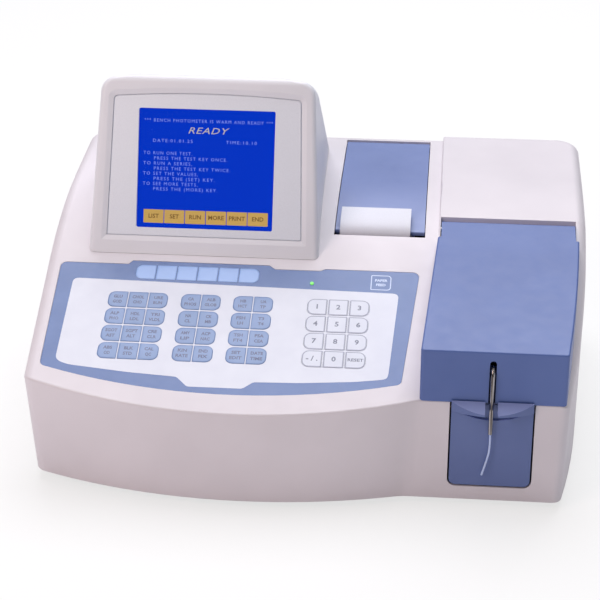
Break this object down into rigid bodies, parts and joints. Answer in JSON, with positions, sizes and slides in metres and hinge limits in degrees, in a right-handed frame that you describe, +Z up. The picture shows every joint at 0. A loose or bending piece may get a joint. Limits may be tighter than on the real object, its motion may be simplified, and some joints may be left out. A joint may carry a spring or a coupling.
{
  "type": "benchtop chemistry analyzer",
  "caption": "Benchtop photometer with a leaning screen pod, a sloping film keypad, a strip printer and a hinged wedge lid over a flow cell with a sample tube.",
  "frame": {"origin": "on the table top under the feet, in the middle of the whole instrument's footprint, the waste outlet at the back included", "axes": "+Z up, +Y from the user's side to the back, +X to the user's right"},
  "size_m": [0.4336, 0.371, 0.2786],
  "materials": {
    "case_plastic": "fine textured moulded shell",
    "pod_plastic": "fine textured moulded shell",
    "lid_plastic": "blue grey moulded plastic",
    "bezel_silver": "silver grey painted panel",
    "clear_window": "polished",
    "screen_module": "blue display",
    "overlay_film": "satin printed film",
    "circuit_board": "solder mask",
    "green_lens": "clear tinted",
    "key_film": "satin",
    "plated_steel": "zinc plated sheet",
    "bright_steel": "ground and polished",
    "black_rubber": "matt",
    "black_plastic": "moulded",
    "tray_plastic": "black moulded",
    "anodised_black": "anodised black",
    "cell_glass": "polished quartz",
    "filter_glass": "coated filter glass",
    "white_tube": "translucent fluoropolymer",
    "silicone": "translucent",
    "pump_plastic": "moulded",
    "white_nylon": "moulded",
    "paper": "smooth thermal paper"
  },
  "bodies": {
    "case": {"base_plate": "plated_steel", "rubber_feet": "black_rubber", "upper_case": "case_plastic", "rear_panel": "plated_steel", "case_screws": "plated_steel", "hinge_pins": "bright_steel", "display_housing": "pod_plastic", "display_bezel": "bezel_silver", "display_window": "clear_window", "lcd_module": "screen_module", "keypad_overlay": "overlay_film", "keypad_board": "circuit_board", "status_led": "green_lens", "press_switch": "black_plastic", "sipper_tube": "bright_steel", "sipper_tip": "white_tube", "bay_tray": "tray_plastic", "cell_holder": "anodised_black", "flow_cell": "cell_glass", "lamp_housing": "anodised_black", "filter_motor": "plated_steel", "detector_board": "circuit_board", "pump_body": "pump_plastic", "pump_motor": "plated_steel", "pump_tube": "silicone", "waste_fitting": "black_plastic", "printer_tub": "tray_plastic", "print_head": "anodised_black", "fan_frame": "black_plastic", "power_inlet": "black_plastic", "serial_port": "plated_steel", "main_board": "circuit_board", "power_supply": "plated_steel"},
    "lid": {"sample_lid": "lid_plastic"},
    "press_plate": {"press_plate": "lid_plastic"},
    "printer_cover": {"printer_cover": "lid_plastic", "paper_strip": "paper"},
    "platen": {"platen_roller": "black_rubber"},
    "roll": {"paper_roll": "paper"},
    "filter_wheel": {"filter_wheel": "anodised_black", "optical_filters": "filter_glass"},
    "pump_rotor": {"pump_rotor": "black_plastic", "pump_rollers": "white_nylon"},
    "fan": {"fan_rotor": "black_plastic"},
    "rocker": {"power_rocker": "black_plastic"},
    "key_minus": {"key_minus": "key_film"},
    "key_0": {"key_0": "key_film"},
    "key_reset": {"key_reset": "key_film"},
    "key_7": {"key_7": "key_film"},
    "key_8": {"key_8": "key_film"},
    "key_9": {"key_9": "key_film"},
    "key_4": {"key_4": "key_film"},
    "key_5": {"key_5": "key_film"},
    "key_6": {"key_6": "key_film"},
    "key_1": {"key_1": "key_film"},
    "key_2": {"key_2": "key_film"},
    "key_3": {"key_3": "key_film"}
  },
  "joints": [
    {"name": "lid_hinge", "type": "hinge", "parent": "case", "child": "lid", "pos_m": [0.15387, 0.00799, 0.15781], "axis": [-1, 0, 0], "range_deg": [0, 80]},
    {"name": "press_plate_pivot", "type": "hinge", "parent": "case", "child": "press_plate", "pos_m": [0.14337, -0.15651, 0.082], "axis": [1, 0, 0], "range_deg": [0, 3], "stiffness_Nm_per_rad": 0.5},
    {"name": "printer_cover_hinge", "type": "hinge", "parent": "case", "child": "printer_cover", "pos_m": [0.05027, 0.15659, 0.17657], "axis": [-1, 0, 0], "range_deg": [0, 90]},
    {"name": "platen_spin", "type": "hinge", "parent": "printer_cover", "child": "platen", "pos_m": [0.04647, 0.00689, 0.147], "axis": [1, 0, 0], "continuous": true},
    {"name": "roll_spin", "type": "hinge", "parent": "case", "child": "roll", "pos_m": [0.04647, 0.07849, 0.127], "axis": [1, 0, 0], "continuous": true},
    {"name": "filter_wheel_spin", "type": "hinge", "parent": "case", "child": "filter_wheel", "pos_m": [0.11827, -0.09651, 0.084], "axis": [1, 0, 0], "continuous": true},
    {"name": "pump_spin", "type": "hinge", "parent": "case", "child": "pump_rotor", "pos_m": [0.15077, -0.05251, 0.078], "axis": [0, 0, 1], "continuous": true},
    {"name": "fan_spin", "type": "hinge", "parent": "case", "child": "fan", "pos_m": [-0.13923, 0.16049, 0.058], "axis": [0, 1, 0], "continuous": true},
    {"name": "rocker_tilt", "type": "hinge", "parent": "case", "child": "rocker", "pos_m": [0.11877, 0.16439, 0.038], "axis": [-1, 0, 0], "range_deg": [0, 16]},
    {"name": "key_minus_press", "type": "slide", "parent": "case", "child": "key_minus", "axis": [0, 0.3911, -0.9203], "range_m": [0, 0.0003], "stiffness_N_per_m": 80},
    {"name": "key_0_press", "type": "slide", "parent": "case", "child": "key_0", "axis": [0, 0.3911, -0.9203], "range_m": [0, 0.0003], "stiffness_N_per_m": 80},
    {"name": "key_reset_press", "type": "slide", "parent": "case", "child": "key_reset", "axis": [0, 0.3911, -0.9203], "range_m": [0, 0.0003], "stiffness_N_per_m": 80},
    {"name": "key_7_press", "type": "slide", "parent": "case", "child": "key_7", "axis": [0, 0.3911, -0.9203], "range_m": [0, 0.0003], "stiffness_N_per_m": 80},
    {"name": "key_8_press", "type": "slide", "parent": "case", "child": "key_8", "axis": [0, 0.3911, -0.9203], "range_m": [0, 0.0003], "stiffness_N_per_m": 80},
    {"name": "key_9_press", "type": "slide", "parent": "case", "child": "key_9", "axis": [0, 0.3911, -0.9203], "range_m": [0, 0.0003], "stiffness_N_per_m": 80},
    {"name": "key_4_press", "type": "slide", "parent": "case", "child": "key_4", "axis": [0, 0.3911, -0.9203], "range_m": [0, 0.0003], "stiffness_N_per_m": 80},
    {"name": "key_5_press", "type": "slide", "parent": "case", "child": "key_5", "axis": [0, 0.3911, -0.9203], "range_m": [0, 0.0003], "stiffness_N_per_m": 80},
    {"name": "key_6_press", "type": "slide", "parent": "case", "child": "key_6", "axis": [0, 0.3911, -0.9203], "range_m": [0, 0.0003], "stiffness_N_per_m": 80},
    {"name": "key_1_press", "type": "slide", "parent": "case", "child": "key_1", "axis": [0, 0.3911, -0.9203], "range_m": [0, 0.0003], "stiffness_N_per_m": 80},
    {"name": "key_2_press", "type": "slide", "parent": "case", "child": "key_2", "axis": [0, 0.3911, -0.9203], "range_m": [0, 0.0003], "stiffness_N_per_m": 80},
    {"name": "key_3_press", "type": "slide", "parent": "case", "child": "key_3", "axis": [0, 0.3911, -0.9203], "range_m": [0, 0.0003], "stiffness_N_per_m": 80}
  ],
  "couplings": [
    {"joint": "roll_spin", "follows": "platen_spin", "ratio": 0.25}
  ]
}
